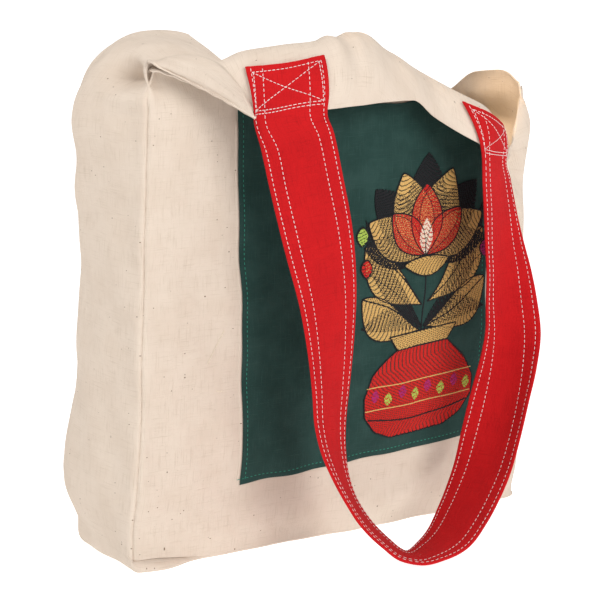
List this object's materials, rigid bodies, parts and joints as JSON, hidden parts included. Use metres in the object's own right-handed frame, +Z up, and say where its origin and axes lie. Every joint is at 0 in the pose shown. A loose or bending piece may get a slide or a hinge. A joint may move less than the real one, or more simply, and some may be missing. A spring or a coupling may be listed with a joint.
{
  "type": "tote bag",
  "caption": "Soft standing canvas tote with a boxed gusset, folded open top, sewn front patch and wide hanging shoulder straps.",
  "frame": {"origin": "middle of the base, on the surface that the bag stands on", "axes": "+Z up, the front with the patch faces -Y, +X to the right as seen from the front"},
  "size_m": [0.3956, 0.3159, 0.3877],
  "materials": {
    "canvas": "unbleached plain weave",
    "green_cloth": "fine plain weave",
    "red_cloth": "plain weave"
  },
  "bodies": {
    "root": {"front_panel": "canvas", "back_panel": "canvas", "gusset": "canvas", "patch": "green_cloth", "front_strap": "red_cloth", "back_strap": "red_cloth"}
  },
  "joints": []
}
